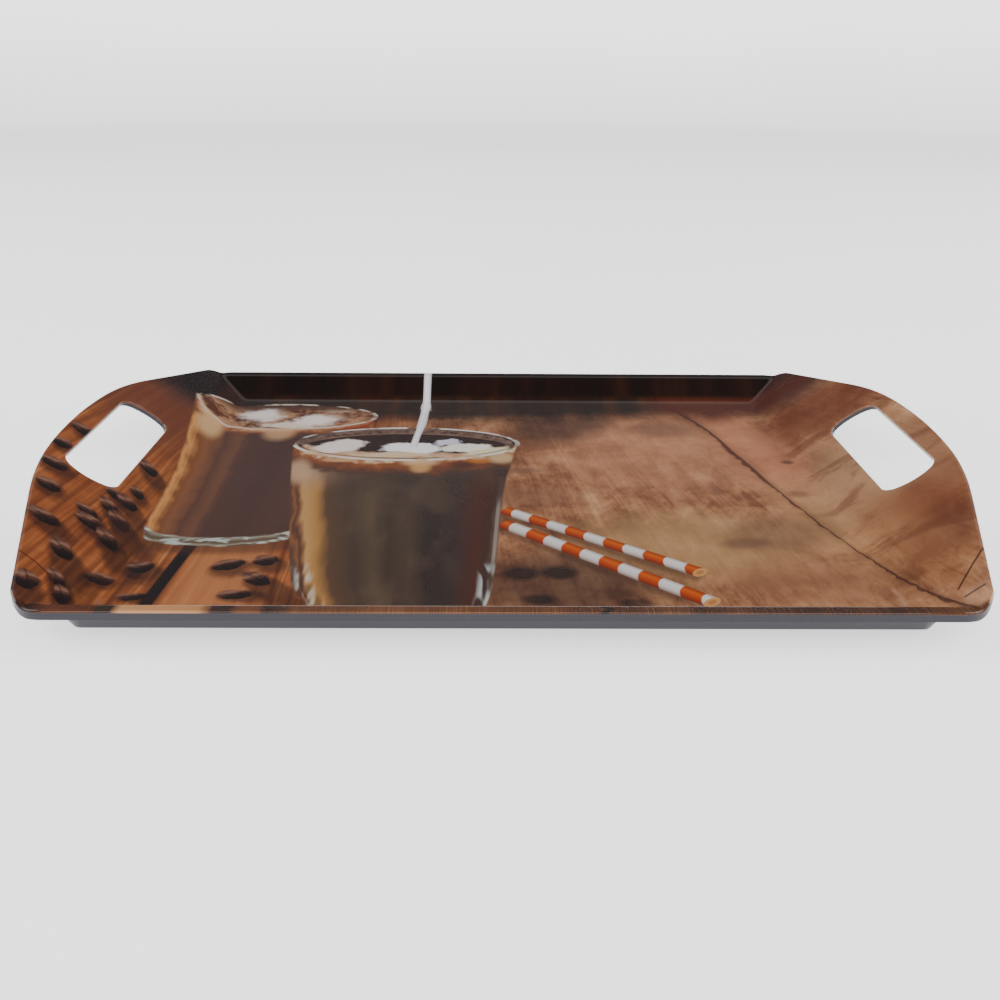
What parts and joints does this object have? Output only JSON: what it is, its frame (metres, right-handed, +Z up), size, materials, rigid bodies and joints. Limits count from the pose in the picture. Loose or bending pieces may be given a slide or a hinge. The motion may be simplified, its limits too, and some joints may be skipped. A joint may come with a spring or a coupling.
{
  "type": "serving tray",
  "caption": "Rectangular melamine serving tray with a shallow sloping-sided well and raised, curved end flanges pierced by hand holes, printed on top.",
  "frame": {"origin": "centre of the tray's footprint, on the surface that the foot ring stands on", "axes": "+X along the tray towards a handle, +Y across it, +Z up"},
  "size_m": [0.5, 0.37, 0.0467],
  "materials": {
    "melamine": "moulded grey melamine, satin underneath, ground edges",
    "printed_foil": "printed decor paper: iced coffee glasses, straws and beans on weathered planks",
    "clear_glaze": "clear glossy melamine glaze"
  },
  "bodies": {
    "root": {"tray_body": "melamine", "print_foil": "printed_foil", "glaze_coat": "clear_glaze"}
  },
  "joints": []
}
